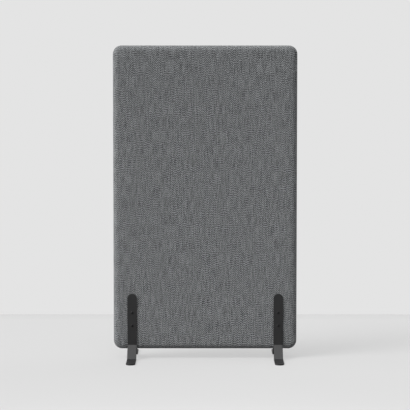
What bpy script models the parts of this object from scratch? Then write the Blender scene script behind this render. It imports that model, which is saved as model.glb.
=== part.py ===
"""A free-standing acoustic partition wall: an upholstered panel on four bent flat-bar legs.

Metres, +Z up, origin on the floor under the middle of the panel. X runs along the panel, and the front
face looks towards -Y. Left and right are as seen from the front.
"""

import math

import bmesh
import bpy
from mathutils import Matrix, Vector

# Driving dimensions
PANEL_WIDTH = 0.800
OVERALL_HEIGHT = 1.365
FLOOR_GAP = 0.042
PANEL_THICKNESS = 0.050
CORNER_RADIUS = 0.037
RIM_RADIUS = 0.021

BAR_WIDTH = 0.040
BAR_THICKNESS = 0.005
LEG_INSET = 0.081
PLATE_TOP = 0.2853
BEND_HEIGHT = 0.0605
TOE_REACH = 0.220
SCREW_HEIGHTS = {"lower": 0.146, "upper": 0.203}

CLEARANCE = 0.0003
FABRIC = 0.0015
SEAM_TAPE = 0.0007
FACE_WADDING = 0.008
EDGE_WADDING = 0.0055
TIMBER_WIDTH = 0.040
SEPTUM = 0.003
PAD_THICKNESS = 0.001

# Panel, from the outside in
PANEL_HEIGHT = OVERALL_HEIGHT - FLOOR_GAP
PANEL_MIDDLE = FLOOR_GAP + PANEL_HEIGHT / 2
HALF_THICKNESS = PANEL_THICKNESS / 2
WADDING_FACE = HALF_THICKNESS - FABRIC - CLEARANCE
WADDING_INSET = FABRIC + SEAM_TAPE + 2 * CLEARANCE
FRAME_FACE = WADDING_FACE - FACE_WADDING - CLEARANCE
FRAME_INSET = WADDING_INSET + EDGE_WADDING + CLEARANCE
FRAME_DEPTH = 2 * FRAME_FACE
OPENING_INSET = FRAME_INSET + TIMBER_WIDTH + CLEARANCE

# Bent bars
BEND_ANGLE = math.radians(45)
BEND_INSIDE = 0.003
BAR_EASING = 0.0007
TOE_TOP = PAD_THICKNESS + CLEARANCE + BAR_THICKNESS
PLATE_BACK = HALF_THICKNESS + CLEARANCE
PLATE_FACE = PLATE_BACK + BAR_THICKNESS
SLANT_FOOT = PLATE_FACE + (BEND_HEIGHT - TOE_TOP) / math.tan(BEND_ANGLE)
LEG_X = PANEL_WIDTH / 2 - LEG_INSET

# Fastenings
SCREW_RADIUS = 0.003
SCREW_LENGTH = 0.020
HEAD_RADIUS = 0.00525
HEAD_HEIGHT = 0.0033
HEAD_EDGE = 0.0004
SCREW_CHAMFER = 0.0006
SOCKET_ACROSS_FLATS = 0.004
SOCKET_DEPTH = 0.002
SLEEVE_RADIUS = 0.006
SLEEVE_LENGTH = PANEL_THICKNESS - CLEARANCE
DOWEL_RADIUS = 0.004
DOWEL_LENGTH = 0.030
DOWEL_PLAY = 0.001

# Blocks that carry the legs
BLOCK_WIDTH = 0.070
BLOCK_HEIGHT = 0.210
BLOCK_OUTSIDE = PANEL_WIDTH / 2 - OPENING_INSET
BLOCK_BOTTOM = FLOOR_GAP + OPENING_INSET
BLOCK_DOWELS = (0.25, 0.75)

# Facets
CORNER_STEPS = 8
RIM_STEPS = 5
BEND_STEPS = 4
END_STEPS = 9
TURN_STEPS = 18
DOWEL_SIDES = 16
HEAD_STEPS = 4

# A button head's dome runs between these angles, in degrees, of an arc about the head's middle
HEAD_FLAT_TOP = 68
HEAD_RIM = 0

SIDES = {"left": -1, "right": 1}
FACES = {"front": -1, "rear": 1}
ENDS = {"bottom": -1, "top": 1}
UPRIGHT = Matrix.Rotation(math.pi / 2, 4, "X")


def clear_scene():
    for item in list(bpy.data.objects):
        bpy.data.objects.remove(item, do_unlink=True)


def new_collection(name):
    collection = bpy.data.collections.new(name)
    bpy.context.scene.collection.children.link(collection)
    return collection


def new_material(name, colour, roughness, metallic=0.0):
    material = bpy.data.materials.new(name)
    material.use_nodes = True
    shader = material.node_tree.nodes["Principled BSDF"]
    shader.inputs["Base Color"].default_value = (*colour, 1.0)
    shader.inputs["Roughness"].default_value = roughness
    shader.inputs["Metallic"].default_value = metallic
    material.diffuse_color = (*colour, 1.0)
    return material


def make_materials():
    return {
        "cover_fabric": new_material("cover_fabric", (0.135, 0.138, 0.144), 0.95),
        "wadding": new_material("wadding", (0.78, 0.77, 0.74), 0.95),
        "absorber": new_material("absorber", (0.42, 0.36, 0.22), 0.95),
        "hardboard": new_material("hardboard", (0.23, 0.13, 0.07), 0.7),
        "timber": new_material("timber", (0.62, 0.45, 0.27), 0.65),
        "beech": new_material("beech", (0.58, 0.38, 0.22), 0.6),
        "seam_tape": new_material("seam_tape", (0.05, 0.05, 0.055), 0.9),
        "black_steel": new_material("black_steel", (0.02, 0.02, 0.021), 0.5),
        "black_screw": new_material("black_screw", (0.018, 0.018, 0.019), 0.4),
        "zinc_steel": new_material("zinc_steel", (0.6, 0.6, 0.58), 0.35, 1.0),
        "rubber": new_material("rubber", (0.015, 0.015, 0.015), 0.8),
    }


def mesh_from(shape, name):
    mesh = bpy.data.meshes.new(name)
    shape.to_mesh(mesh)
    shape.free()
    return mesh


def add_part(name, mesh, material, collection, location=(0, 0, 0), turn=0.0):
    part = bpy.data.objects.new(name, mesh)
    part.location = location
    part.rotation_euler = (0, 0, turn)
    if material is not None:
        mesh.materials.clear()
        mesh.materials.append(material)
    collection.objects.link(part)
    return part


def add_cutter(name, mesh, cutters, location=(0, 0, 0)):
    cutter = add_part(name, mesh, None, cutters, location)
    cutter.hide_render = True
    cutter.display_type = "WIRE"
    return cutter


def cut(part, cutter):
    boolean = part.modifiers.new("cut " + cutter.name, "BOOLEAN")
    boolean.operation = "DIFFERENCE"
    boolean.solver = "EXACT"
    boolean.object = cutter


def smooth(mesh, sharp_above=35):
    mesh.shade_smooth()
    mesh.set_sharp_from_angle(angle=math.radians(sharp_above))


def settled_mesh(part, name):
    """The mesh that the part's modifiers make. The part itself is removed."""
    graph = bpy.context.evaluated_depsgraph_get()
    mesh = bpy.data.meshes.new_from_object(part.evaluated_get(graph))
    mesh.name = name
    bpy.data.objects.remove(part, do_unlink=True)
    return mesh


def arc(centre, radius, start, end, steps):
    """Points on an arc, from one angle in degrees to another."""
    turns = [math.radians(start + (end - start) * i / steps) for i in range(steps + 1)]
    return [(centre[0] + radius * math.cos(a), centre[1] + radius * math.sin(a)) for a in turns]


def rounded_rectangle(width, height, radius):
    corner_x = width / 2 - radius
    corner_y = height / 2 - radius
    corners = ((corner_x, corner_y, 0), (-corner_x, corner_y, 90), (-corner_x, -corner_y, 180))
    points = []
    for x, y, start in (*corners, (corner_x, -corner_y, 270)):
        points += arc((x, y), radius, start, start + 90, CORNER_STEPS)
    return points


def outline_mesh(name, loops, thickness, placing):
    """A flat outline, whose further loops are holes, extruded by its thickness about its own plane."""
    curve = bpy.data.curves.new(name, "CURVE")
    curve.dimensions = "2D"
    curve.fill_mode = "BOTH"
    curve.extrude = thickness / 2
    for loop in loops:
        spline = curve.splines.new("POLY")
        spline.points.add(len(loop) - 1)
        spline.use_cyclic_u = True
        for point, (x, y) in zip(spline.points, loop):
            point.co = (x, y, 0, 1)
    guide = bpy.data.objects.new(name, curve)
    bpy.context.scene.collection.objects.link(guide)
    guide.matrix_world = placing
    bpy.context.view_layer.update()
    mesh = settled_mesh(guide, name)
    bpy.data.curves.remove(curve)
    shape = bmesh.new()
    shape.from_mesh(mesh)
    bpy.data.meshes.remove(mesh)
    bmesh.ops.remove_doubles(shape, verts=shape.verts, dist=1e-6)
    bmesh.ops.transform(shape, matrix=placing, verts=shape.verts)
    return mesh_from(shape, name)


def box_shape(low, high):
    shape = bmesh.new()
    bmesh.ops.create_cube(shape, size=1)
    size = Vector(high) - Vector(low)
    middle = (Vector(high) + Vector(low)) / 2
    place = Matrix.Translation(middle) @ Matrix.Diagonal((*size, 1))
    bmesh.ops.transform(shape, matrix=place, verts=shape.verts)
    return shape


def slab_shape(inset, back, face, side, rim_radius):
    """Half of the panel's slab: rounded corners, and a rounded rim where it meets the outer face.

    inset is how far its edge lies inside the panel's; it runs in Y from back to face, on the front
    (side -1) or the rear (side 1).
    """
    half_width = PANEL_WIDTH / 2 - inset
    half_height = PANEL_HEIGHT / 2 - inset
    low, high = sorted((side * back, side * face))
    shape = box_shape(
        (-half_width, low, PANEL_MIDDLE - half_height), (half_width, high, PANEL_MIDDLE + half_height)
    )
    across = [e for e in shape.edges if abs((e.verts[0].co - e.verts[1].co).y) > (high - low) / 2]
    bmesh.ops.bevel(
        shape,
        geom=across,
        offset=CORNER_RADIUS - inset,
        segments=CORNER_STEPS,
        profile=0.5,
        affect="EDGES",
    )
    if rim_radius > 0:
        outer = max(shape.faces, key=lambda f: side * f.calc_center_median().y)
        bmesh.ops.bevel(
            shape,
            geom=list(outer.edges),
            offset=rim_radius,
            segments=RIM_STEPS,
            profile=0.5,
            affect="EDGES",
        )
    return shape


def rods_mesh(name, radius, length, axis, sides, places):
    """Parallel round bars along X, Y or Z, each centred on one of the places."""
    turn = {"X": Matrix.Rotation(math.pi / 2, 4, "Y"), "Y": UPRIGHT, "Z": Matrix.Identity(4)}[axis]
    shape = bmesh.new()
    for place in places:
        rod = bmesh.ops.create_cone(
            shape, cap_ends=True, segments=sides, radius1=radius, radius2=radius, depth=length
        )
        placing = Matrix.Translation(place) @ turn
        bmesh.ops.transform(shape, matrix=placing, verts=rod["verts"])
    return mesh_from(shape, name)


def turned_mesh(name, profile, closed, collection):
    """A profile of (radius, height) points, top to bottom down its outer side, turned about Z."""
    shape = bmesh.new()
    points = [shape.verts.new((radius, 0, height)) for radius, height in profile]
    for start, end in zip(points, points[1:]):
        shape.edges.new((start, end))
    if closed:
        shape.edges.new((points[-1], points[0]))
    part = add_part(name, mesh_from(shape, name), None, collection)
    turning = part.modifiers.new("turn", "SCREW")
    turning.axis = "Z"
    turning.steps = TURN_STEPS
    turning.render_steps = TURN_STEPS
    turning.use_merge_vertices = True
    turning.merge_threshold = 0.00001
    bpy.context.view_layer.update()
    return settled_mesh(part, name)


# Upholstery


def add_covers(collection, materials, sleeve_holes):
    """Two fabric half shells, whose edges meet around the middle of the panel's thickness."""
    for face, side in FACES.items():
        shape = slab_shape(0.0, CLEARANCE / 2, HALF_THICKNESS, side, RIM_RADIUS)
        back = min(shape.faces, key=lambda f: side * f.calc_center_median().y)
        bmesh.ops.delete(shape, geom=[back], context="FACES_ONLY")
        cover = add_part(face + "_cover", mesh_from(shape, "cover"), materials["cover_fabric"], collection)
        shell = cover.modifiers.new("cloth", "SOLIDIFY")
        shell.thickness = FABRIC
        shell.offset = -1
        shell.use_even_offset = True
        cut(cover, sleeve_holes)
        smooth(cover.data)


def add_wadding(collection, materials, cutters, sleeve_holes):
    """A soft dish on each face of the frame, folded over its edge as far as the middle."""
    for face, side in FACES.items():
        rim = RIM_RADIUS - FABRIC - CLEARANCE
        shape = slab_shape(WADDING_INSET, CLEARANCE / 2, WADDING_FACE, side, rim)
        name = face + "_wadding"
        pad = add_part(name, mesh_from(shape, "wadding"), materials["wadding"], collection)
        hollow = slab_shape(
            FRAME_INSET - CLEARANCE, -HALF_THICKNESS, WADDING_FACE - FACE_WADDING, side, 0.0
        )
        cut(pad, add_cutter(name + "_hollow", mesh_from(hollow, "hollow"), cutters))
        cut(pad, sleeve_holes)
        smooth(pad.data)


def add_seam_tape(collection, materials):
    """The tape that both covers are sewn to, a ring inside the seam."""
    inset = FABRIC + CLEARANCE
    outer = rounded_rectangle(
        PANEL_WIDTH - 2 * inset, PANEL_HEIGHT - 2 * inset, CORNER_RADIUS - inset
    )
    inset += SEAM_TAPE
    inner = rounded_rectangle(
        PANEL_WIDTH - 2 * inset, PANEL_HEIGHT - 2 * inset, CORNER_RADIUS - inset
    )
    width = PANEL_THICKNESS - 2 * RIM_RADIUS
    placing = Matrix.Translation((0, 0, PANEL_MIDDLE)) @ UPRIGHT
    mesh = outline_mesh("seam_tape", (outer, inner), width, placing)
    add_part("edge_seam_tape", mesh, materials["seam_tape"], collection)


# Core


def core_outline():
    """The frame's opening, less the two leg blocks at its lower corners."""
    half_width = PANEL_WIDTH / 2 - OPENING_INSET
    bottom = FLOOR_GAP + OPENING_INSET
    top = OVERALL_HEIGHT - OPENING_INSET
    notch_x = BLOCK_OUTSIDE - BLOCK_WIDTH - CLEARANCE
    notch_top = BLOCK_BOTTOM + BLOCK_HEIGHT + CLEARANCE
    right = [(notch_x, bottom), (notch_x, notch_top), (half_width, notch_top), (half_width, top)]
    return right + [(-x, z) for x, z in reversed(right)]


def add_core(collection, materials):
    """A hard board down the middle, with a fibre absorber slab on each side of it."""
    outline = core_outline()
    septum = outline_mesh("septum", (outline,), SEPTUM, UPRIGHT)
    add_part("septum_board", septum, materials["hardboard"], collection)
    slab_back = SEPTUM / 2 + CLEARANCE
    for face, side in FACES.items():
        middle = side * (slab_back + FRAME_FACE) / 2
        placing = Matrix.Translation((0, middle, 0)) @ UPRIGHT
        slab = outline_mesh("absorber", (outline,), FRAME_FACE - slab_back, placing)
        add_part(face + "_absorber", slab, materials["absorber"], collection)


# Timber frame


def frame_edges():
    """The frame's outer half width, lowest and highest edge."""
    return PANEL_WIDTH / 2 - FRAME_INSET, FLOOR_GAP + FRAME_INSET, OVERALL_HEIGHT - FRAME_INSET


def corner_outline(side, end):
    """A square block whose outer corner is rounded, for the side and end that the signs give."""
    half_width, bottom, top = frame_edges()
    edge_z = top if end > 0 else bottom
    radius = CORNER_RADIUS - FRAME_INSET
    round_outside = arc((-radius, -radius), radius, 0, 90, CORNER_STEPS)
    local = [(-TIMBER_WIDTH, -TIMBER_WIDTH), (0, -TIMBER_WIDTH), *round_outside, (-TIMBER_WIDTH, 0)]
    points = [(side * (half_width + x), edge_z + end * z) for x, z in local]
    return points if side * end > 0 else points[::-1]


def dowel_places():
    """Each dowel's name, axis and middle."""
    half_width, bottom, top = frame_edges()
    joint = TIMBER_WIDTH + CLEARANCE / 2
    places = []
    for side_name, side in SIDES.items():
        for end_name, end in ENDS.items():
            edge_z = top if end > 0 else bottom
            middle_z = edge_z - end * TIMBER_WIDTH / 2
            middle_x = side * (half_width - TIMBER_WIDTH / 2)
            corner = end_name + "_" + side_name
            places.append(("dowel_rail_" + corner, "X", (side * (half_width - joint), 0, middle_z)))
            places.append(("dowel_stile_" + corner, "Z", (middle_x, 0, edge_z - end * joint)))
        for level, share in zip(("lower", "upper"), BLOCK_DOWELS):
            place = (side * (half_width - joint), 0, BLOCK_BOTTOM + share * BLOCK_HEIGHT)
            places.append(("dowel_block_" + side_name + "_" + level, "X", place))
    return places


def add_frame(collection, materials, cutters, sleeve_holes):
    """Two stiles and two rails between four rounded corner blocks, all joined with dowels."""
    half_width, bottom, top = frame_edges()
    length_cut = TIMBER_WIDTH + CLEARANCE
    timber = materials["timber"]
    timbers = []
    for name, side in SIDES.items():
        inner, outer = sorted((side * half_width, side * (half_width - TIMBER_WIDTH)))
        shape = box_shape(
            (inner, -FRAME_FACE, bottom + length_cut), (outer, FRAME_FACE, top - length_cut)
        )
        timbers.append(add_part(name + "_stile", mesh_from(shape, "stile"), timber, collection))
    for name, end in ENDS.items():
        edge = top if end > 0 else bottom
        low, high = sorted((edge, edge - end * TIMBER_WIDTH))
        shape = box_shape(
            (length_cut - half_width, -FRAME_FACE, low), (half_width - length_cut, FRAME_FACE, high)
        )
        timbers.append(add_part(name + "_rail", mesh_from(shape, "rail"), timber, collection))
        for side_name, side in SIDES.items():
            mesh = outline_mesh("corner_block", (corner_outline(side, end),), FRAME_DEPTH, UPRIGHT)
            block_name = "corner_block_" + name + "_" + side_name
            timbers.append(add_part(block_name, mesh, timber, collection))
    for name, side in SIDES.items():
        inner, outer = sorted((side * BLOCK_OUTSIDE, side * (BLOCK_OUTSIDE - BLOCK_WIDTH)))
        shape = box_shape(
            (inner, -FRAME_FACE, BLOCK_BOTTOM), (outer, FRAME_FACE, BLOCK_BOTTOM + BLOCK_HEIGHT)
        )
        block = add_part("leg_block_" + name, mesh_from(shape, "leg_block"), timber, collection)
        cut(block, sleeve_holes)
        timbers.append(block)
    for axis in ("X", "Z"):
        places = [place for _, along, place in dowel_places() if along == axis]
        bore_radius = DOWEL_RADIUS + CLEARANCE
        bores = rods_mesh("bores", bore_radius, DOWEL_LENGTH + DOWEL_PLAY, axis, DOWEL_SIDES, places)
        cutter = add_cutter("dowel_bores_" + axis.lower(), bores, cutters)
        for piece in timbers:
            if reaches(piece, places):
                cut(piece, cutter)


def reaches(piece, places):
    """Whether a dowel centred on any of the places enters the piece."""
    corners = [v.co for v in piece.data.vertices]
    low = [min(c[i] for c in corners) - DOWEL_RADIUS for i in range(3)]
    high = [max(c[i] for c in corners) + DOWEL_RADIUS for i in range(3)]
    return any(all(low[i] < place[i] < high[i] for i in range(3)) for place in places)


def add_dowels(collection, materials):
    for name, axis, place in dowel_places():
        mesh = rods_mesh("dowel", DOWEL_RADIUS, DOWEL_LENGTH, axis, DOWEL_SIDES, [(0, 0, 0)])
        smooth(mesh)
        add_part(name, mesh, materials["beech"], collection, place)


# Legs and their fastenings


def leg_path():
    """(reach, height) along a bar's upper face, from the plate's top, down both bends, to the toe's tip.

    Both bends turn the same way, about a centre above and in front of the bar.
    """
    tangent = BEND_INSIDE * math.tan(BEND_ANGLE / 2)
    upper_centre = (PLATE_FACE + BEND_INSIDE, BEND_HEIGHT + tangent)
    lower_centre = (SLANT_FOOT + tangent, TOE_TOP + BEND_INSIDE)
    turned = 180 + math.degrees(BEND_ANGLE)
    path = [(PLATE_FACE, PLATE_TOP - along) for along in end_stations()]
    path += arc(upper_centre, BEND_INSIDE, 180, turned, BEND_STEPS)
    path += arc(lower_centre, BEND_INSIDE, turned, 270, BEND_STEPS)
    path += [(TOE_REACH - along, TOE_TOP) for along in reversed(end_stations())]
    return path


def end_stations():
    """Distances from a bar's half-round end at which its edge turns by equal steps."""
    turns = [math.pi / 2 * i / END_STEPS for i in range(END_STEPS + 1)]
    return [BAR_WIDTH / 2 * (1 - math.cos(turn)) for turn in turns]


def bar_half_width(from_end):
    radius = BAR_WIDTH / 2
    if from_end >= radius:
        return radius
    return math.sqrt(max(radius**2 - (radius - from_end) ** 2, 0.0))


def leg_mesh(collection, cutters):
    """A flat bar with half-round ends, bent twice, with two screw holes. Its toe points towards -Y."""
    shape = bmesh.new()
    path = leg_path()
    steps = [math.dist(a, b) for a, b in zip(path, path[1:])]
    length = sum(steps)
    rows = []
    travelled = 0.0
    for (reach, height), step in zip(path, [0.0, *steps]):
        travelled += step
        half = bar_half_width(min(travelled, length - travelled))
        places = (-half, half) if half > BAR_EASING else (0.0,)
        rows.append([shape.verts.new((x, -reach, height)) for x in places])
    for upper, lower in zip(rows, rows[1:]):
        shape.faces.new([*upper, *reversed(lower)])
    bmesh.ops.recalc_face_normals(shape, faces=shape.faces)
    if shape.faces[len(shape.faces) // 2].normal.z < 0:
        bmesh.ops.reverse_faces(shape, faces=shape.faces)
    bar = add_part("bar", mesh_from(shape, "bar"), None, collection)
    thicken = bar.modifiers.new("bar thickness", "SOLIDIFY")
    thicken.thickness = BAR_THICKNESS
    thicken.offset = -1
    thicken.use_even_offset = True
    ease = bar.modifiers.new("eased edges", "BEVEL")
    ease.width = BAR_EASING
    ease.segments = 2
    ease.limit_method = "ANGLE"
    ease.angle_limit = math.radians(50)
    places = [(0, -PLATE_FACE, height) for height in SCREW_HEIGHTS.values()]
    holes = rods_mesh("holes", SCREW_RADIUS + CLEARANCE, 4 * BAR_THICKNESS, "Y", TURN_STEPS, places)
    cut(bar, add_cutter("leg_screw_holes", holes, cutters))
    bpy.context.view_layer.update()
    mesh = settled_mesh(bar, "leg")
    smooth(mesh, 40)
    return mesh


def pad_mesh():
    """A thin pad under a toe, just inside its outline."""
    margin = 0.002
    half = BAR_WIDTH / 2 - margin
    back = -(SLANT_FOOT + BAR_WIDTH / 2)
    round_end = arc((0, BAR_WIDTH / 2 - TOE_REACH), half, 180, 360, 2 * END_STEPS)
    outline = [*round_end, (half, back), (-half, back)]
    placing = Matrix.Translation((0, 0, PAD_THICKNESS / 2))
    return outline_mesh("foot_pad", (outline,), PAD_THICKNESS, placing)


def screw_mesh(collection, cutters):
    """A button-head screw along Z, head up, its head's underside at the origin."""
    dome = arc((0, 0), 1.0, HEAD_FLAT_TOP, HEAD_RIM, HEAD_STEPS)
    rise = (HEAD_HEIGHT - HEAD_EDGE) / dome[0][1]
    profile = [(0, HEAD_HEIGHT)]
    profile += [(HEAD_RADIUS * across, HEAD_EDGE + rise * up) for across, up in dome]
    profile += [
        (HEAD_RADIUS, 0),
        (SCREW_RADIUS, 0),
        (SCREW_RADIUS, SCREW_CHAMFER - SCREW_LENGTH),
        (SCREW_RADIUS - SCREW_CHAMFER, -SCREW_LENGTH),
        (0, -SCREW_LENGTH),
    ]
    mesh = turned_mesh("screw", profile, False, collection)
    screw = add_part("screw_blank", mesh, None, collection)
    socket = bmesh.new()
    bmesh.ops.create_cone(
        socket,
        cap_ends=True,
        segments=6,
        radius1=SOCKET_ACROSS_FLATS / math.sqrt(3),
        radius2=SOCKET_ACROSS_FLATS / math.sqrt(3),
        depth=2 * SOCKET_DEPTH,
    )
    cut(screw, add_cutter("hex_socket", mesh_from(socket, "hex"), cutters, (0, 0, HEAD_HEIGHT)))
    bpy.context.view_layer.update()
    mesh = settled_mesh(screw, "button_screw")
    smooth(mesh)
    return mesh


def add_sleeves(collection, materials):
    """Threaded sleeves through the panel: a screw enters each from either end."""
    half = SLEEVE_LENGTH / 2
    bore = SCREW_RADIUS + CLEARANCE
    profile = [(SLEEVE_RADIUS, half), (SLEEVE_RADIUS, -half), (bore, -half), (bore, half)]
    mesh = turned_mesh("sleeve", profile, True, collection)
    mesh.transform(UPRIGHT)
    smooth(mesh)
    for name, side in SIDES.items():
        for level, height in SCREW_HEIGHTS.items():
            sleeve_name = "threaded_sleeve_" + name + "_" + level
            place = (side * LEG_X, 0, height)
            add_part(sleeve_name, mesh, materials["zinc_steel"], collection, place)


def add_legs(collection, materials, cutters):
    """A leg, its pad and its two screws on each face, at each side."""
    leg = leg_mesh(collection, cutters)
    pad = pad_mesh()
    screw = screw_mesh(collection, cutters)
    screw.transform(Matrix.Translation((0, -PLATE_FACE - CLEARANCE, 0)) @ UPRIGHT)
    for face, facing in FACES.items():
        turn = 0.0 if facing < 0 else math.pi
        for name, side in SIDES.items():
            place = (side * LEG_X, 0, 0)
            where = "_" + face + "_" + name
            add_part("leg" + where, leg, materials["black_steel"], collection, place, turn)
            add_part("foot_pad" + where, pad, materials["rubber"], collection, place, turn)
            for level, height in SCREW_HEIGHTS.items():
                screw_name = "screw" + where + "_" + level
                at = (side * LEG_X, 0, height)
                add_part(screw_name, screw, materials["black_screw"], collection, at, turn)


def main():
    clear_scene()
    parts = new_collection("partition_wall")
    cutters = new_collection("cutters")
    materials = make_materials()
    sleeve_places = [(side * LEG_X, 0, z) for side in SIDES.values() for z in SCREW_HEIGHTS.values()]
    clear_of_sleeve = SLEEVE_RADIUS + CLEARANCE
    holes = rods_mesh("sleeves", clear_of_sleeve, 2 * PANEL_THICKNESS, "Y", TURN_STEPS, sleeve_places)
    sleeve_holes = add_cutter("sleeve_holes", holes, cutters)
    add_covers(parts, materials, sleeve_holes)
    add_seam_tape(parts, materials)
    add_wadding(parts, materials, cutters, sleeve_holes)
    add_core(parts, materials)
    add_frame(parts, materials, cutters, sleeve_holes)
    add_dowels(parts, materials)
    add_sleeves(parts, materials)
    add_legs(parts, materials, cutters)


main()
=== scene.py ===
"""The looks of the partition wall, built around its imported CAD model.

Metres, +Z up. X runs along the panel, whose front looks towards -Y. Left and right are as seen
from the front.
"""

import math

import bpy
import numpy as np
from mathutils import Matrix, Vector, noise


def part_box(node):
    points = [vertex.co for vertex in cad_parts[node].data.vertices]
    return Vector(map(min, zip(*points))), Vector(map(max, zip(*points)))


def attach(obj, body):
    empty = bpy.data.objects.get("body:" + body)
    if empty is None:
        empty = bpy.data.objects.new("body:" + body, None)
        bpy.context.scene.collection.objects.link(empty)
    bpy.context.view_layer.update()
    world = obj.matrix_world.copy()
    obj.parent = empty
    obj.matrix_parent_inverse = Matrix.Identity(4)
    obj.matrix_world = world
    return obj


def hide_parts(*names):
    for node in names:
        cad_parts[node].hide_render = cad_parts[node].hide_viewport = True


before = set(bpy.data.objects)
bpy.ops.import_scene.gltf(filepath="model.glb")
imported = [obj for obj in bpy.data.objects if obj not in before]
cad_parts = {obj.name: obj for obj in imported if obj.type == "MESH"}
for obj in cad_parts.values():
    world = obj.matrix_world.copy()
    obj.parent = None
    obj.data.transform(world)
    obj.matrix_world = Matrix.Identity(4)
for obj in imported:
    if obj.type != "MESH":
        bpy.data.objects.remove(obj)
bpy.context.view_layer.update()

FACES = {"front": -1, "rear": 1}

# The panel's shape where the boxes of its nodes don't give it
CORNER_RADIUS = 0.037
RIM_RADIUS = 0.021
FABRIC = 0.0015
CLEARANCE = 0.0003
SEAM_CURL = 0.0012

# The panel's places, from its nodes
cover_low, cover_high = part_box("front_cover")
wadding_low, wadding_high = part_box("front_wadding")
_, stile_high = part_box("right_stile")
HALF_WIDTH = cover_high.x
HALF_HEIGHT = (cover_high.z - cover_low.z) / 2
MIDDLE = (cover_high.z + cover_low.z) / 2
FACE = -cover_low.y
SEAM_GAP = -cover_high.y
WADDING_FACE = -wadding_low.y
WADDING_INSET = HALF_WIDTH - wadding_high.x
HOLLOW_FACE = stile_high.y + CLEARANCE
HOLLOW_INSET = HALF_WIDTH - stile_high.x - CLEARANCE

# The net of points that covers and wadding share
CELL = 0.006
CORNER_CELLS = 4
RIM_CELLS = 8
CURL_CELLS = 3
NET_RINGS = RIM_CELLS + 1 + CURL_CELLS
BORE_PLAY = 0.0003

# Cloth simulation
CLOTH_FRAMES = 20
CLOTH_QUALITY = 4
CLOTH_PRESSURE = 120.0
CLOTH_TENSION = 150.0
CLOTH_DAMPING = 4.0
FOAM_HOLD = 0.35
FOAM_STIFFNESS = 1.0
MOST_BULGE = 0.0013
PLATE_MARGIN = 0.0015
ROUNDING = 1e-6
RIPPLE = 0.00012
RIPPLE_LENGTH = 0.11

# Stitches that close the seam
STITCH_PITCH = 0.005
STITCH_LENGTH = 0.003
STITCH_RADIUS = 0.00028
STITCH_DEPTH = 0.0001
STITCH_SIDES = 5
STITCH_SLANT = 0.35
SHARP_ANGLE = math.radians(50)

# The weave: columns of floats, whose places sway and stray, and the yarns in them
FLOAT_WIDTH = 0.0045
FLOAT_PERIOD = 0.00976
YARN = 0.00125
COLUMN_SWAY = 0.0015
STRAY_BEATS = 1.5
WEAVE_RELIEF = 0.0007

# The widths at which other surfaces repeat
HARDBOARD_MESH = 0.0018
TAPE_TWILL = 0.0009
THREAD_TWIST = 0.0005

# Wood: how far the middle of the growth rings lies from the object's own, and the depth of the pores
HEART_OFFSET = (0.021, 0.037)
PORE_DEPTH = 0.00015

# Each wood's growth rings, and its pale and dark colours
WOODS = {
    "timber": (0.0032, (0.66, 0.47, 0.27), (0.46, 0.27, 0.12)),
    "beech": (0.0015, (0.62, 0.41, 0.25), (0.45, 0.26, 0.14)),
}

# The floor: its size, where it ends behind the part, and how it looks to the camera
FLOOR_REACH = 40.0
FLOOR_BEHIND = 1.44
FLOOR_GLOW = 0.475
# A painted shadow along the floor's far edge, where it meets the backdrop: how far in it reaches, and how
# much glow stays
PAINTED_SHADOW_DEPTH = 0.25
PAINTED_SHADOW_LEVEL = 0.92

# The backdrop as the camera sees it, and as it lights the part
BACKDROP_SEEN = 0.775
BACKDROP_LIGHT = 0.22

# Lights far away: where each one comes from, the angle that it fills in degrees, and its strength
LIGHTS = {
    "left": ((-1.0, -0.27, 0.22), 40, 1.6),
    "upper_left": ((-1.0, -0.1, 1.0), 40, 1.3),
    "front_left": ((-1.0, -0.7, 1.0), 30, 2.35),
    "overhead": ((0.0, -0.35, 1.0), 36, 1.0),
    "rear_right": ((0.5, 1.0, 0.9), 100, 1.1),
    "right": ((1.0, 0.4, 0.35), 60, 0.6),
}

# A light near the floor in front
LOW_FILL_PLACE = (0.0, -1.7, 0.25)
LOW_FILL_WIDTH = 1.6
LOW_FILL_HEIGHT = 0.3
LOW_FILL_POWER = 4.0

# The camera: its place, how many degrees it looks down, its lens and sensor in mm, and how far it sees
EYE = (0.0, -7.944, 1.248)
DOWN = 4.15
LENS = 160.3
SENSOR = 36.0
SHIFT = -0.00024
FARTHEST = 200.0


# Nodes of a material


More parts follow.
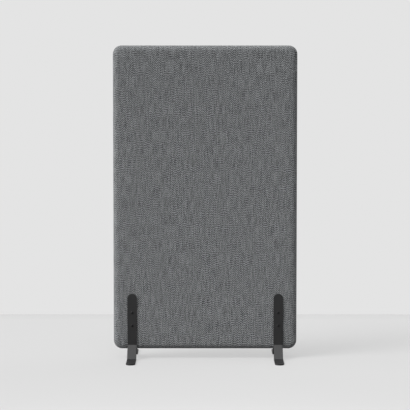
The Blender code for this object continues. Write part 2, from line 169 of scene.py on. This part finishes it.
class Graph:
    """A material's node tree. Each call adds one node or a few, and gives the last one's output."""

    def __init__(self, name, roughness=0.5, metallic=0.0, specular=0.5):
        self.material = bpy.data.materials.new(name)
        self.material.use_nodes = True
        self.tree = self.material.node_tree
        self.shader = self.tree.nodes["Principled BSDF"]
        self.shade("Roughness", roughness)
        self.shade("Metallic", metallic)
        self.shade("Specular IOR Level", specular)

    def feed(self, socket, value):
        if isinstance(value, bpy.types.NodeSocket):
            self.tree.links.new(value, socket)
        else:
            socket.default_value = value

    def shade(self, name, value):
        self.feed(self.shader.inputs[name], value)

    def node(self, kind, inputs, **settings):
        added = self.tree.nodes.new("ShaderNode" + kind)
        for name, value in settings.items():
            setattr(added, name, value)
        for place, value in inputs.items():
            self.feed(added.inputs[place], value)
        return added

    def math(self, operation, first, second=0.0):
        return self.node("Math", {0: first, 1: second}, operation=operation).outputs[0]

    def add(self, first, second):
        return self.math("ADD", first, second)

    def times(self, first, second):
        return self.math("MULTIPLY", first, second)

    def mixed(self, *parts, base=0.0):
        """base and the sum of the parts, each given with its share."""
        total = base
        for part, share in parts:
            total = self.add(total, self.times(part, share))
        return total

    def wave(self, value, length):
        """A sine that repeats every length."""
        return self.math("SINE", self.times(value, 2 * math.pi / length))

    def place(self):
        return self.node("TexCoord", {}).outputs["Object"]

    def flat_place(self):
        return self.node("UVMap", {}, uv_map="flat").outputs["UV"]

    def split(self, vector):
        return self.node("SeparateXYZ", {0: vector}).outputs[:]

    def join(self, x, y, z=0.0):
        return self.node("CombineXYZ", {0: x, 1: y, 2: z}).outputs[0]

    def diagonal(self):
        """x + y + z, along which a twill or a twist repeats."""
        x, y, z = self.split(self.place())
        return self.add(self.add(x, z), y)

    def scaled(self, vector, scale):
        return self.node("Mapping", {"Vector": vector, "Scale": scale}).outputs[0]

    def noise(self, vector, scale, detail=2.0, roughness=0.5):
        inputs = {"Vector": vector, "Scale": scale, "Detail": detail, "Roughness": roughness}
        return self.node("TexNoise", inputs).outputs[0]

    def random(self, vector):
        return self.node("TexWhiteNoise", {"Vector": vector}).outputs["Value"]

    def ramp(self, value, low, high, start=0.0, end=1.0):
        """value from low..high, smoothly, to start..end."""
        inputs = {"Value": value, "From Min": low, "From Max": high, "To Min": start, "To Max": end}
        return self.node("MapRange", inputs, interpolation_type="SMOOTHSTEP").outputs[0]

    def blend(self, factor, first, second):
        """From the first colour to the second as factor goes from 0 to 1."""
        inputs = {0: factor, 6: (*first, 1.0), 7: (*second, 1.0)}
        return self.node("Mix", inputs, data_type="RGBA").outputs[2]

    def colour(self, factor, first, second):
        self.shade("Base Color", self.blend(factor, first, second))

    def rough(self, value, least, most):
        """Roughness between least and most over the middle of value, where a noise mostly is."""
        self.shade("Roughness", self.ramp(value, 0.3, 0.7, least, most))

    def bump(self, height, depth):
        inputs = {"Height": height, "Distance": depth, "Strength": 1.0}
        self.shade("Normal", self.node("Bump", inputs).outputs[0])


def grey(level, blue=1.0):
    return (level, level, level * blue)


# Materials


def raised_floats(graph, u, v):
    """How far the floats stand up: narrow columns of them, each about half a beat off its neighbour."""
    column = graph.math("FLOOR", graph.math("DIVIDE", u, FLOAT_WIDTH))
    stray = graph.noise(graph.join(graph.times(column, 5.3), graph.times(v, 12.0)), 1.0, 1.0)
    offset = graph.mixed((column, 0.5), (stray, STRAY_BEATS))
    beat = graph.add(graph.math("DIVIDE", v, FLOAT_PERIOD), offset)
    lively = graph.random(graph.join(column, graph.math("FLOOR", beat)))
    across = graph.math("ABSOLUTE", graph.wave(u, 2 * FLOAT_WIDTH))
    body = graph.ramp(across, 0.0, 0.5, 0.6, 1.0)
    size = graph.times(body, graph.ramp(lively, 0.0, 1.0, 0.8, 1.2))
    return graph.times(graph.ramp(graph.wave(beat, 1.0), -0.5, 0.5), size)


def fabric_material():
    """A two-tone weave, light floats over a dark ground, laid out on the flat cut of the cloth."""
    graph = Graph("melange_weave", specular=0.2)
    u, v, _ = graph.split(graph.flat_place())
    sway = graph.noise(graph.flat_place(), 22.0, 1.0)
    u = graph.add(u, graph.times(sway, COLUMN_SWAY))
    raised = raised_floats(graph, u, v)
    yarn = graph.ramp(graph.times(graph.wave(u, YARN), graph.wave(v, YARN)), -1.0, 1.0)
    fibre = graph.noise(graph.join(u, graph.times(v, 0.45)), 1500.0, 3.0, 0.6)
    melange = graph.noise(graph.join(u, v, 7.0), 230.0, 2.0, 0.7)
    streak = graph.noise(graph.join(u, graph.times(v, 0.08)), 210.0, 2.0, 0.6)
    tone = graph.mixed(
        (raised, 0.50),
        (graph.ramp(melange, 0.25, 0.75, -0.5, 0.5), 0.6),
        (graph.ramp(streak, 0.25, 0.75, -0.5, 0.5), 0.34),
        (graph.ramp(fibre, 0.3, 0.7, -0.5, 0.5), 0.1),
        base=0.21,
    )
    graph.colour(tone, (0.015, 0.016, 0.017), (0.31, 0.32, 0.328))
    graph.rough(fibre, 0.86, 0.98)
    graph.shade("Sheen Weight", 0.12)
    graph.shade("Sheen Roughness", 0.55)
    graph.bump(graph.mixed((raised, 0.6), (yarn, 0.25), (fibre, 0.15)), WEAVE_RELIEF)
    return graph.material


def padding_material():
    """White polyester fibre: curly strands in soft clumps."""
    graph = Graph("polyester_wadding", specular=0.2)
    clump = graph.noise(graph.place(), 60.0, 3.0)
    strand = graph.noise(graph.scaled(graph.place(), (1.0, 3.0, 1.0)), 700.0, 4.0, 0.7)
    graph.colour(graph.mixed((clump, 0.5), (strand, 0.5)), (0.66, 0.65, 0.61), (0.88, 0.87, 0.84))
    graph.rough(strand, 0.88, 1.0)
    graph.bump(graph.add(clump, strand), 0.0012)
    return graph.material


def absorber_material():
    """Mineral fibre board: thin layers parallel to its faces, with loose darker strands."""
    graph = Graph("fibre_absorber", specular=0.15)
    layer = graph.noise(graph.scaled(graph.place(), (1.0, 9.0, 1.0)), 120.0, 4.0, 0.65)
    strand = graph.noise(graph.place(), 900.0, 3.0, 0.7)
    tone = graph.ramp(graph.mixed((layer, 0.6), (strand, 0.4)), 0.3, 0.7)
    graph.colour(tone, (0.27, 0.22, 0.11), (0.56, 0.49, 0.31))
    graph.rough(strand, 0.88, 1.0)
    graph.bump(tone, 0.0009)
    return graph.material


def hardboard_material():
    """Pressed brown fibres with a faint print of the press's wire mesh."""
    graph = Graph("hardboard", specular=0.3)
    x, _, z = graph.split(graph.place())
    mesh = graph.times(graph.wave(x, HARDBOARD_MESH), graph.wave(z, HARDBOARD_MESH))
    fibre = graph.noise(graph.place(), 420.0, 4.0, 0.65)
    graph.colour(fibre, (0.13, 0.065, 0.03), (0.33, 0.19, 0.10))
    graph.rough(fibre, 0.6, 0.8)
    graph.bump(graph.mixed((mesh, 0.3), (fibre, 1.0)), 0.00025)
    return graph.material


def wood_material(name, along, rings, pale, dark):
    """Sawn wood whose grain runs along one axis, with growth rings about a heart outside the piece."""
    graph = Graph(name, specular=0.35)
    stretch = [1.0, 1.0, 1.0]
    stretch[along] = 0.08
    drawn_out = graph.scaled(graph.place(), stretch)
    axes = [axis for i, axis in enumerate(graph.split(graph.place())) if i != along]
    warp = graph.times(graph.noise(drawn_out, 22.0, 2.0), 0.02)
    across = graph.add(graph.add(axes[0], HEART_OFFSET[0]), warp)
    deep = graph.add(axes[1], HEART_OFFSET[1])
    squares = graph.add(graph.times(across, across), graph.times(deep, deep))
    late = graph.ramp(graph.wave(graph.math("SQRT", squares), rings), -0.2, 1.0)
    pore = graph.noise(drawn_out, 1400.0, 2.0, 0.6)
    tone = graph.mixed((late, 0.55), (graph.ramp(pore, 0.35, 0.7), 0.45))
    graph.colour(tone, pale, dark)
    graph.rough(pore, 0.5, 0.72)
    graph.bump(graph.times(tone, -1.0), PORE_DEPTH)
    return graph.material


def tape_material():
    """Dark woven tape with a fine twill."""
    graph = Graph("seam_tape_twill", specular=0.25)
    twill = graph.ramp(graph.wave(graph.diagonal(), TAPE_TWILL), -1.0, 1.0)
    fibre = graph.noise(graph.place(), 1800.0, 2.0)
    tone = graph.mixed((twill, 0.7), (fibre, 0.3))
    graph.colour(tone, grey(0.02, 1.05), grey(0.07, 1.05))
    graph.rough(fibre, 0.78, 0.92)
    graph.bump(tone, 0.0002)
    return graph.material


def thread_material():
    """Dark grey sewing thread, its strands twisted together."""
    graph = Graph("sewing_thread", roughness=0.75, specular=0.3)
    twist = graph.ramp(graph.wave(graph.diagonal(), THREAD_TWIST), -1.0, 1.0)
    fibre = graph.noise(graph.place(), 3000.0, 2.0)
    tone = graph.mixed((twist, 0.6), (fibre, 0.4))
    graph.colour(tone, grey(0.05, 1.04), grey(0.17, 1.04))
    graph.bump(tone, 0.00006)
    return graph.material


def powder_coat_material():
    """Matt black powder coat: a fine orange peel with a grain of paler specks."""
    graph = Graph("black_powder_coat", specular=0.5)
    peel = graph.noise(graph.place(), 850.0, 2.0, 0.5)
    grain = graph.noise(graph.place(), 3600.0, 2.0, 0.6)
    cloud = graph.noise(graph.place(), 30.0, 2.0)
    tone = graph.mixed((graph.ramp(grain, 0.35, 0.75), 0.6), (cloud, 0.4))
    graph.colour(tone, grey(0.010, 1.04), grey(0.023, 1.04))
    graph.shade("Roughness", graph.mixed((peel, 0.16), (cloud, 0.10), base=0.36))
    graph.bump(graph.mixed((peel, 0.75), (grain, 0.25)), 0.00009)
    return graph.material


def black_screw_material():
    """Blackened steel: darker than the coat, faintly blue, with fine level scratches."""
    graph = Graph("blackened_steel", specular=0.25)
    mottle = graph.noise(graph.place(), 600.0, 3.0, 0.6)
    scratch = graph.noise(graph.scaled(graph.place(), (1.0, 1.0, 6.0)), 2200.0, 2.0)
    graph.colour(mottle, (0.006, 0.006, 0.0066), (0.015, 0.0155, 0.017))
    graph.rough(scratch, 0.42, 0.58)
    graph.bump(graph.add(mottle, scratch), 0.00002)
    return graph.material


def zinc_material():
    """Zinc-plated steel: faint spangle, brushed along the sleeve."""
    graph = Graph("zinc_plate", metallic=1.0)
    spangle = graph.noise(graph.place(), 500.0, 2.0)
    brushed = graph.noise(graph.scaled(graph.place(), (1.0, 0.06, 1.0)), 3000.0, 2.0)
    graph.colour(spangle, (0.50, 0.50, 0.48), (0.68, 0.69, 0.69))
    graph.rough(brushed, 0.26, 0.46)
    graph.bump(brushed, 0.00002)
    return graph.material


def rubber_material():
    """Black rubber with a fine moulded grain."""
    graph = Graph("black_rubber", specular=0.3)
    grain = graph.noise(graph.place(), 1600.0, 3.0, 0.6)
    bloom = graph.noise(graph.place(), 90.0, 2.0)
    graph.colour(bloom, grey(0.010), grey(0.022))
    graph.rough(grain, 0.7, 0.9)
    graph.bump(grain, 0.0001)
    return graph.material


def floor_material():
    """A grey floor that glows for the camera alone and so looks pale, with a painted shadow at its far edge.
    """
    graph = Graph("studio_floor", roughness=1.0, specular=0.0)
    _, y, _ = graph.split(graph.place())
    cloud = graph.noise(graph.place(), 1.4, 3.0)
    grain = graph.noise(graph.place(), 240.0, 2.0)
    tone = graph.mixed((cloud, 0.7), (grain, 0.3))
    graph.colour(tone, grey(0.157), grey(0.163))
    graph.shade("Emission Color", graph.blend(tone, grey(0.99), grey(1.0)))
    seen = graph.node("LightPath", {}).outputs["Is Camera Ray"]
    # Painted shadow: the glow dims towards the far edge, where floor and backdrop meet
    painted_far_shadow = graph.ramp(y, FLOOR_BEHIND - PAINTED_SHADOW_DEPTH, FLOOR_BEHIND, 1.0, PAINTED_SHADOW_LEVEL)
    graph.shade("Emission Strength", graph.times(graph.times(seen, painted_far_shadow), FLOOR_GLOW))
    graph.bump(grain, 0.0002)
    return graph.material


def dress_cad_nodes(looks):
    """Gives each CAD node that stays visible the material of its slot."""
    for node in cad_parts.values():
        for slot in node.material_slots:
            look = looks.get(slot.material.name.split(".")[0])
            if look is not None:
                slot.material = look


def wood_by_grain():
    """The grain runs along X in the rails and in the dowels that lie along X, and along Z elsewhere."""
    made = {}
    for wood, (rings, pale, dark) in WOODS.items():
        for axis, along in (("x", 0), ("z", 2)):
            made[wood, axis] = wood_material(wood + "_along_" + axis, along, rings, pale, dark)
    for name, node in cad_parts.items():
        lies_along_x = name.endswith("_rail") or name.startswith(("dowel_rail", "dowel_block"))
        for slot in node.material_slots:
            wood = slot.material.name.split(".")[0]
            if wood in WOODS:
                slot.material = made[wood, "x" if lies_along_x else "z"]


# Objects


def add_object(name, data):
    added = bpy.data.objects.new(name, data)
    bpy.context.scene.collection.objects.link(added)
    return added


def add_mesh(name, points, faces):
    mesh = bpy.data.meshes.new(name)
    mesh.from_pydata(points, [], faces)
    return add_object(name, mesh)


def shade_smooth(piece):
    """Smooth shading that stops at the sharp edges."""
    piece.data.shade_smooth()
    piece.data.set_sharp_from_angle(angle=SHARP_ANGLE)


# The net that covers and wadding share: a grid over the flat face, and rings round its edge


def stations(half, radius, breaks):
    """Grid lines from -half to half: finer cells at the corners, even ones between the breaks."""
    marks = sorted({-half, radius - half, *breaks, half - radius, half})
    lines = [marks[0]]
    for start, end in zip(marks, marks[1:]):
        count = max(CORNER_CELLS, round((end - start) / CELL))
        lines += [start + (end - start) * i / count for i in range(1, count + 1)]
    return lines


def leg_plates():
    """The middle, half width and top of each plate against the front face, in the panel's own X and Z."""
    plates = []
    for side in ("left", "right"):
        low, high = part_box("leg_front_" + side)
        plates.append(((low.x + high.x) / 2, (high.x - low.x) / 2, high.z - MIDDLE))
    return plates


def sleeve_places():
    """The middle of each threaded sleeve in the panel's own X and Z, and the sleeves' radius."""
    boxes = [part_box(name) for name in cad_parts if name.startswith("threaded_sleeve")]
    places = [((low.x + high.x) / 2, (low.z + high.z) / 2 - MIDDLE) for low, high in boxes]
    return places, max((high.x - low.x) / 2 for low, high in boxes)


class Net:
    """Points of the flat face, the way that the rings go outward from its edge, and all the faces."""

    def __init__(self):
        half_x, half_z = HALF_WIDTH - RIM_RADIUS, HALF_HEIGHT - RIM_RADIUS
        radius = CORNER_RADIUS - RIM_RADIUS
        plates = leg_plates()
        margins = {middle + side * (half + PLATE_MARGIN) for middle, half, _ in plates for side in (-1, 1)}
        _, _, plate_top = plates[0]
        lines_x = stations(half_x, radius, margins)
        lines_z = stations(half_z, radius, {plate_top + PLATE_MARGIN})
        x, z = np.meshgrid(lines_x, lines_z, indexing="ij")
        # Past the core, the square corners of the grid are pressed into round ones
        core_x, core_z = half_x - radius, half_z - radius
        past_x = np.clip((np.abs(x) - core_x) / radius, 0, None)
        past_z = np.clip((np.abs(z) - core_z) / radius, 0, None)
        round_x = past_x * np.sqrt(1 - past_z**2 / 2)
        round_z = past_z * np.sqrt(1 - past_x**2 / 2)
        x = np.where(past_x > 0, np.sign(x) * (core_x + radius * round_x), x)
        z = np.where(past_z > 0, np.sign(z) * (core_z + radius * round_z), z)
        index = np.arange(x.size).reshape(x.shape)
        edge = [*index[:-1, 0], *index[-1, :-1], *index[:0:-1, -1], *index[0, :0:-1]]
        outward = np.stack([np.sign(x) * round_x, np.sign(z) * round_z], -1).reshape(-1, 2)
        self.grid = np.stack([x, z], -1).reshape(-1, 2)
        self.edge = self.grid[edge]
        self.outward = outward[edge] / np.linalg.norm(outward[edge], axis=1, keepdims=True)
        self.grid_count = len(self.grid)
        corners = (index[:-1, :-1], index[1:, :-1], index[1:, 1:], index[:-1, 1:])
        faces = np.stack(corners, -1).reshape(-1, 4).tolist()
        ring = edge
        for level in range(NET_RINGS):
            start = self.grid_count + level * len(edge)
            outer = list(range(start, start + len(edge)))
            faces += [[ring[i - 1], outer[i - 1], outer[i], ring[i]] for i in range(len(edge))]
            ring = outer
        self.bore(faces)

    def bore(self, faces):
        """Opens the net round each sleeve, and rounds the opening."""
        places, radius = sleeve_places()
        radius += BORE_PLAY
        gone = np.zeros(self.grid_count, bool)
        for place in places:
            gone |= np.linalg.norm(self.grid - place, axis=1) < radius
        opened = [face for face in faces if any(i < self.grid_count and gone[i] for i in face)]
        lip = {i for face in opened for i in face if not gone[i]}
        self.faces = [face for face in faces if face not in opened]
        for i in lip:
            middle = min(places, key=lambda place: math.dist(place, self.grid[i]))
            away = self.grid[i] - middle
            self.grid[i] = middle + away * (radius / np.linalg.norm(away))

    def skin(self, profile):
        """Points in the object's frame. profile holds (out, depth) of the face and then of each ring."""
        rows = [self.grid] + [self.edge + self.outward * out for out, _ in profile[1:]]
        depths = [np.full(len(row), -depth) for row, (_, depth) in zip(rows, profile)]
        flat_x, flat_z = np.concatenate(rows).T
        return np.column_stack([flat_x, np.concatenate(depths), flat_z + MIDDLE])

    def flat(self, profile):
        """Each point's place in the flat cut: the rings are unrolled outward."""
        rows = [self.grid]
        travelled = 0.0
        for start, end in zip(profile, profile[1:]):
            travelled += math.dist(start, end)
            rows.append(self.edge + self.outward * travelled)
        return np.concatenate(rows)


def rim_profile(face, out, depth, tail):
    """The flat face, a quarter turn of the rim to (out, face - depth), and the tail."""
    turns = [math.pi / 2 * i / RIM_CELLS for i in range(RIM_CELLS + 1)]
    return [(out * math.sin(a), face - depth * (1 - math.cos(a))) for a in turns] + tail


def straight(out, start, end, count):
    """Even steps of depth from start, which is left out, to end."""
    return [(out, start + (end - start) * i / count) for i in range(1, count + 1)]


def cover_outside():
    """Round the rim, along the edge, and curled in at the seam."""
    centre = SEAM_GAP + SEAM_CURL
    turns = [math.pi / 2 * i / CURL_CELLS for i in range(CURL_CELLS + 1)]
    curl = [(RIM_RADIUS - SEAM_CURL * (1 - math.cos(a)), centre - SEAM_CURL * math.sin(a)) for a in turns]
    return rim_profile(FACE, RIM_RADIUS, RIM_RADIUS, curl)


def cover_inside():
    """One thickness of cloth in from the outside, and straight to the seam."""
    rim = RIM_RADIUS - FABRIC
    tail = straight(rim, FACE - RIM_RADIUS, SEAM_GAP, CURL_CELLS + 1)
    return rim_profile(FACE - FABRIC, rim, rim, tail)


def wadding_outside():
    """Just inside the cover."""
    out = RIM_RADIUS - WADDING_INSET
    rim = RIM_RADIUS - FABRIC - CLEARANCE
    tail = straight(out, WADDING_FACE - rim, SEAM_GAP, CURL_CELLS + 1)
    return rim_profile(WADDING_FACE, out, rim, tail)


def wadding_inside():
    """The hollow that the frame fills: a flat bottom and straight walls."""
    wall = RIM_RADIUS - HOLLOW_INSET
    bottom = [(wall * i / RIM_CELLS, HOLLOW_FACE) for i in range(RIM_CELLS + 1)]
    return bottom + straight(wall, HOLLOW_FACE, SEAM_GAP, CURL_CELLS + 1)


# Upholstery


def hold_weights(net, points):
    """1 where the cloth is sewn or clamped under a plate, and the wadding's soft hold elsewhere."""
    weights = np.full(len(points), FOAM_HOLD)
    edge_count = len(net.edge)
    weights[net.grid_count + RIM_CELLS * edge_count:] = 1.0
    flat_points = points[: net.grid_count, [0, 2]] - (0, MIDDLE)
    for middle, half, top in leg_plates():
        reach = half + PLATE_MARGIN
        x, z = flat_points[:, 0] - middle, flat_points[:, 1] - (top - half)
        under_bar = (np.abs(x) <= reach + ROUNDING) & (z <= 0)
        under_end = np.hypot(x, z) <= reach + ROUNDING
        weights[: net.grid_count][under_bar | under_end] = 1.0
    return weights


def puffed(net, points):
    """How far each point of the cover's outside moves when the wadding presses the cloth out."""
    cloth = add_mesh("cloth", points.tolist(), net.faces)
    mesh = cloth.data
    group = cloth.vertex_groups.new(name="held")
    for i, weight in enumerate(hold_weights(net, points)):
        group.add([i], float(weight), "REPLACE")
    modifier = cloth.modifiers.new("cloth", "CLOTH")
    settings = modifier.settings
    settings.quality = CLOTH_QUALITY
    settings.tension_stiffness = CLOTH_TENSION
    settings.compression_stiffness = CLOTH_TENSION
    settings.air_damping = CLOTH_DAMPING
    settings.vertex_group_mass = "held"
    settings.pin_stiffness = FOAM_STIFFNESS
    settings.use_pressure = True
    settings.uniform_pressure_force = CLOTH_PRESSURE
    settings.effector_weights.gravity = 0.0
    modifier.point_cache.frame_start = 1
    modifier.point_cache.frame_end = CLOTH_FRAMES
    for step in range(1, CLOTH_FRAMES + 1):
        bpy.context.scene.frame_set(step)
    settled = cloth.evaluated_get(bpy.context.evaluated_depsgraph_get()).data
    moved = np.empty(len(points) * 3)
    settled.vertices.foreach_get("co", moved)
    bpy.data.objects.remove(cloth, do_unlink=True)
    bpy.data.meshes.remove(mesh)
    bpy.context.scene.frame_set(1)
    shift = moved.reshape(-1, 3) - points
    length = np.linalg.norm(shift, axis=1, keepdims=True)
    return shift * (MOST_BULGE * np.tanh(length / MOST_BULGE) / np.maximum(length, 1e-9))


def rippled(net, points, shift, seed):
    """Adds the faint unevenness of wadding, less where the cloth is held."""
    free = np.linalg.norm(shift, axis=1) / MOST_BULGE
    for i in range(net.grid_count):
        place = Vector(points[i]) / RIPPLE_LENGTH + Vector((0, seed, 0))
        shift[i, 1] += RIPPLE * min(free[i], 1.0) * noise.noise(place)
    return shift


def solid_between(name, net, outside, inside, mirrored):
    """A closed mesh between two skins of the net, turned over for the rear, and the points that it uses."""
    count = len(outside)
    points = np.concatenate([outside, inside])
    edges = {(a, b) for face in net.faces for a, b in zip(face, face[1:] + face[:1])}
    rim = [(a, b) for a, b in edges if (b, a) not in edges]
    faces = net.faces + [[i + count for i in reversed(face)] for face in net.faces]
    faces += [[b, a, a + count, b + count] for a, b in sorted(rim)]
    if mirrored:
        points = points * (1, -1, 1)
        faces = [face[::-1] for face in faces]
    used = np.unique([i for face in faces for i in face])
    renumbered = np.zeros(len(points), int)
    renumbered[used] = np.arange(len(used))
    piece = add_mesh(name, points[used].tolist(), renumbered[np.array(faces)].tolist())
    shade_smooth(piece)
    return piece, used


def lay_flat(piece, flat, used, mirrored):
    """Writes the flat cut's coordinates, in metres, as the piece's UV map."""
    places = np.concatenate([flat, flat])[used] * ((-1, 1) if mirrored else (1, 1))
    corners = np.empty(len(piece.data.loops), int)
    piece.data.loops.foreach_get("vertex_index", corners)
    layer = piece.data.uv_layers.new(name="flat")
    layer.uv.foreach_set("vector", places[corners].ravel())


def upholster(looks):
    net = Net()
    outside = net.skin(cover_outside())
    flat = net.flat(cover_outside())
    shift = puffed(net, outside)
    for face, side in FACES.items():
        moved = rippled(net, outside, shift.copy(), side)
        mirrored = side > 0
        padding, _ = solid_between(
            face + "_padding", net, net.skin(wadding_outside()) + moved, net.skin(wadding_inside()), mirrored
        )
        padding.data.materials.append(looks["wadding"])
        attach(padding, "root")
        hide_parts(face + "_wadding")
        cover, used = solid_between(
            face + "_fabric", net, outside + moved, net.skin(cover_inside()) + moved, mirrored
        )
        lay_flat(cover, flat, used, mirrored)
        cover.data.materials.append(looks["cover_fabric"])
        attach(cover, "root")
        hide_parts(face + "_cover")


def edge_walk(inset, pitch):
    """Even steps round the panel's edge: each place and its outward way, in X and Z."""
    radius = CORNER_RADIUS - inset
    core_x, core_z = HALF_WIDTH - CORNER_RADIUS, HALF_HEIGHT - CORNER_RADIUS
    quarter = radius * math.pi / 2
    # The corner that each side starts from, the side's length without its corners, and the way it faces
    sides = (
        (Vector((core_x, core_z)), 2 * core_x, 90),
        (Vector((-core_x, core_z)), 2 * core_z, 180),
        (Vector((-core_x, -core_z)), 2 * core_x, 270),
        (Vector((core_x, -core_z)), 2 * core_z, 0),
    )
    length = sum(run + quarter for _, run, _ in sides)
    count = round(length / pitch)
    walk = []
    for step in range(count):
        left = length * step / count
        for start, run, heading in sides:
            if left >= run + quarter:
                left -= run + quarter
                continue
            facing = math.radians(heading)
            ahead = Vector((-math.sin(facing), math.cos(facing)))
            turn = facing + max(left - run, 0) / radius
            out = Vector((math.cos(turn), math.sin(turn)))
            walk.append((start + ahead * min(left, run) + out * radius, out))
            break
    return walk


def rod(start, end, radius, sides):
    """The points and faces of a straight thread between two points."""
    axis = (end - start).normalized()
    across = axis.orthogonal().normalized()
    other = axis.cross(across)
    turns = [2 * math.pi * i / sides for i in range(sides)]
    spokes = [(across * math.cos(a) + other * math.sin(a)) * radius for a in turns]
    points = [start + spoke for spoke in spokes] + [end + spoke for spoke in spokes]
    walls = [(i, (i + 1) % sides, (i + 1) % sides + sides, i + sides) for i in range(sides)]
    return points, [*walls, tuple(range(sides))[::-1], tuple(range(sides, 2 * sides))]


def sew_seam(looks):
    """Short stitches across the seam that the covers' edges make round the panel."""
    points = []
    faces = []
    for place, out in edge_walk(STITCH_DEPTH, STITCH_PITCH):
        middle = Vector((place.x, 0, place.y + MIDDLE))
        along = Vector((out.y, 0, -out.x))
        half = (Vector((0, 1, 0)) + along * STITCH_SLANT) * (STITCH_LENGTH / 2)
        stitch, walls = rod(middle - half, middle + half, STITCH_RADIUS, STITCH_SIDES)
        faces += [[i + len(points) for i in wall] for wall in walls]
        points += stitch
    stitches = add_mesh("seam_stitches", points, faces)
    shade_smooth(stitches)
    stitches.data.materials.append(looks["thread"])
    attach(stitches, "root")


# Stage, light and camera


def add_floor():
    """A floor that ends behind the part, so that nothing stands in the way of a view from the rear."""
    right, near, far = FLOOR_REACH, -FLOOR_REACH, FLOOR_BEHIND
    corners = [(-right, near, 0), (right, near, 0), (right, far, 0), (-right, far, 0)]
    floor = add_mesh("floor", corners, [(0, 1, 2, 3)])
    floor.data.materials.append(floor_material())


def add_world():
    """A pale backdrop that lights the part less brightly than it looks."""
    world = bpy.data.worlds.new("studio")
    bpy.context.scene.world = world
    world.use_nodes = True
    tree = world.node_tree
    path = tree.nodes.new("ShaderNodeLightPath")
    mix = tree.nodes.new("ShaderNodeMix")
    mix.data_type = "RGBA"
    mix.inputs[6].default_value = (*grey(BACKDROP_LIGHT), 1.0)
    mix.inputs[7].default_value = (*grey(BACKDROP_SEEN), 1.0)
    tree.links.new(path.outputs["Is Camera Ray"], mix.inputs[0])
    tree.links.new(mix.outputs[2], tree.nodes["Background"].inputs["Color"])


def add_lights():
    for name, (source, angle, strength) in LIGHTS.items():
        light = bpy.data.lights.new(name, "SUN")
        light.angle = math.radians(angle)
        light.energy = strength
        lamp = add_object(name, light)
        lamp.rotation_euler = Vector(source).to_track_quat("Z", "Y").to_euler()


def add_low_fill():
    """A soft panel light that makes the wall a little brighter low down, left out of reflections."""
    light = bpy.data.lights.new("low_fill", "AREA")
    light.shape = "RECTANGLE"
    light.size = LOW_FILL_WIDTH
    light.size_y = LOW_FILL_HEIGHT
    light.energy = LOW_FILL_POWER
    lamp = add_object("low_fill", light)
    lamp.location = LOW_FILL_PLACE
    lamp.rotation_euler = (math.radians(90), 0, 0)
    lamp.visible_camera = False
    lamp.visible_glossy = False


def add_camera():
    camera = bpy.data.cameras.new("camera")
    camera.sensor_width = SENSOR
    camera.lens = LENS
    camera.shift_x = SHIFT
    camera.clip_end = FARTHEST
    eye = add_object("camera", camera)
    eye.location = EYE
    eye.rotation_euler = (math.radians(90 - DOWN), 0, 0)
    bpy.context.scene.camera = eye


def main():
    bpy.context.scene.view_settings.view_transform = "Standard"
    looks = {
        "cover_fabric": fabric_material(),
        "wadding": padding_material(),
        "absorber": absorber_material(),
        "hardboard": hardboard_material(),
        "seam_tape": tape_material(),
        "thread": thread_material(),
        "black_steel": powder_coat_material(),
        "black_screw": black_screw_material(),
        "zinc_steel": zinc_material(),
        "rubber": rubber_material(),
    }
    wood_by_grain()
    dress_cad_nodes(looks)
    upholster(looks)
    sew_seam(looks)
    add_floor()
    add_world()
    add_lights()
    add_low_fill()
    add_camera()


main()
